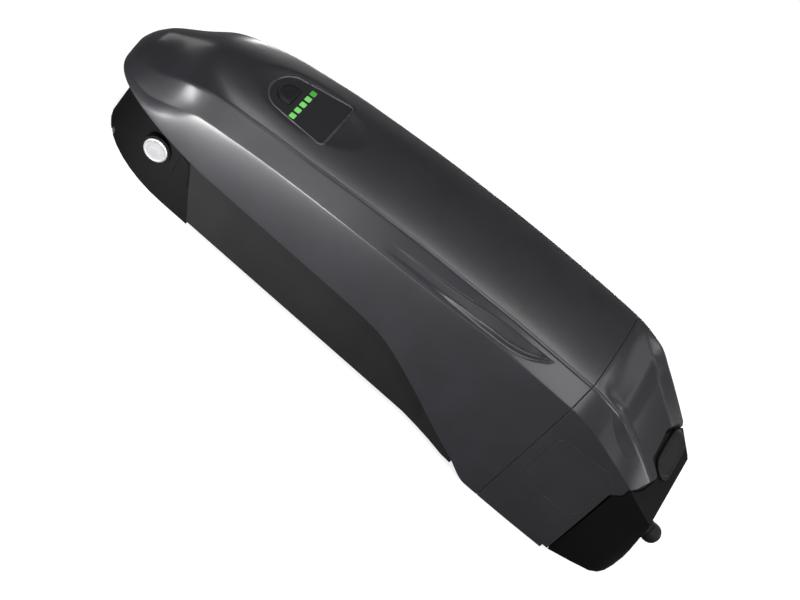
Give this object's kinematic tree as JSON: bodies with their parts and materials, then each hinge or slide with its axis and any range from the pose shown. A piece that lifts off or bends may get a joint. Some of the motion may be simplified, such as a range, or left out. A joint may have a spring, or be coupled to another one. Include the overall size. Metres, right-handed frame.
{
  "type": "electric bicycle down-tube battery with mount",
  "caption": "Long rounded battery pack with a charge indicator, seated on a key-locked rail mount that bolts along a bicycle's down tube.",
  "frame": {"origin": "middle of the two frame-bolt slots, on the rail's underside where it meets the down tube", "axes": "+X along the pack from its nose to the plug end, +Z away from the tube, +Y across the pack, so the key is on the -Y side"},
  "size_m": [0.3711, 0.084, 0.1031],
  "materials": {
    "hood": "satin, very fine grain",
    "tray": "satin",
    "mount_black": "matte",
    "trim": "satin",
    "panel": "smooth",
    "bezel": "satin silver",
    "lamp": "clear, lit from behind",
    "inner_black": "matte",
    "rubber": "soft matte",
    "cell_wrap": "shrink sleeve over a steel can",
    "holder": "moulded",
    "nickel": "rolled",
    "sheet": "stiff paper",
    "board": "lacquered laminate",
    "chip": "moulded",
    "sink": "extruded",
    "rail": "brushed, clear anodised",
    "contact": "gold plated",
    "fuse": "ceramic",
    "steel": "zinc plated",
    "key_cap": "pale silver"
  },
  "bodies": {
    "mount": {"mount_rail": "rail", "key_case": "mount_black", "lock_housing": "steel", "bolt_guide": "steel", "guide_cover": "mount_black", "lower_case": "mount_black", "mount_plug": "inner_black", "mount_terminals": "contact", "charge_socket": "inner_black", "charge_pins": "contact", "cable_gland": "rubber", "rail_screws": "steel"},
    "pack": {"upper_shell": "hood", "end_cap": "hood", "lower_shell": "tray", "shell_seal": "rubber", "indicator_bezel": "bezel", "indicator_panel": "panel", "led_windows": "lamp", "indicator_board": "board", "led_chips": "chip", "button_switch": "inner_black", "cells": "cell_wrap", "cell_holder_near": "holder", "cell_holder_far": "holder", "bus_strips_near": "nickel", "bus_strips_far": "nickel", "insulator_sheets": "sheet", "control_board": "board", "heat_sink": "sink", "power_transistors": "inner_black", "main_fuse": "fuse", "fuse_clips": "contact", "foam_strips": "rubber", "pack_socket": "inner_black", "pack_terminals": "contact", "strike_plate": "steel", "shell_screws": "steel", "end_cap_screws": "steel", "cap_inlays": "trim", "side_plates": "trim"},
    "button": {"power_button": "panel"},
    "barrel": {"lock_barrel": "steel"},
    "bolt": {"lock_bolt": "steel"},
    "keyhole_cap": {"key_cap": "key_cap"},
    "charge_flap": {"charge_cap": "rubber"}
  },
  "joints": [
    {"name": "battery_tilt", "type": "hinge", "parent": "mount", "child": "pack", "pos_m": [0.15485, 0, 0.074], "axis": [0, 1, 0], "range_deg": [0, 14]},
    {"name": "button_press", "type": "slide", "parent": "pack", "child": "button", "axis": [0.1569, 0, -0.9876], "range_m": [0, 0.0008], "stiffness_N_per_m": 900, "springref_m": -0.0008},
    {"name": "key_turn", "type": "hinge", "parent": "mount", "child": "barrel", "pos_m": [-0.14638, -0.02, 0.02647], "axis": [0, 1, 0], "range_deg": [0, 90]},
    {"name": "bolt_slide", "type": "slide", "parent": "mount", "child": "bolt", "axis": [1, 0, 0], "range_m": [0, 0.008]},
    {"name": "key_cap_pull", "type": "slide", "parent": "mount", "child": "keyhole_cap", "axis": [0, -1, 0], "range_m": [0, 0.012]},
    {"name": "charge_cap_open", "type": "hinge", "parent": "mount", "child": "charge_flap", "pos_m": [0.15966, 0.01142, 0.05731], "axis": [0, 1, 0], "range_deg": [0, 95]}
  ],
  "couplings": [
    {"joint": "bolt_slide", "follows": "key_turn", "m_per_rad": 0.005093}
  ]
}
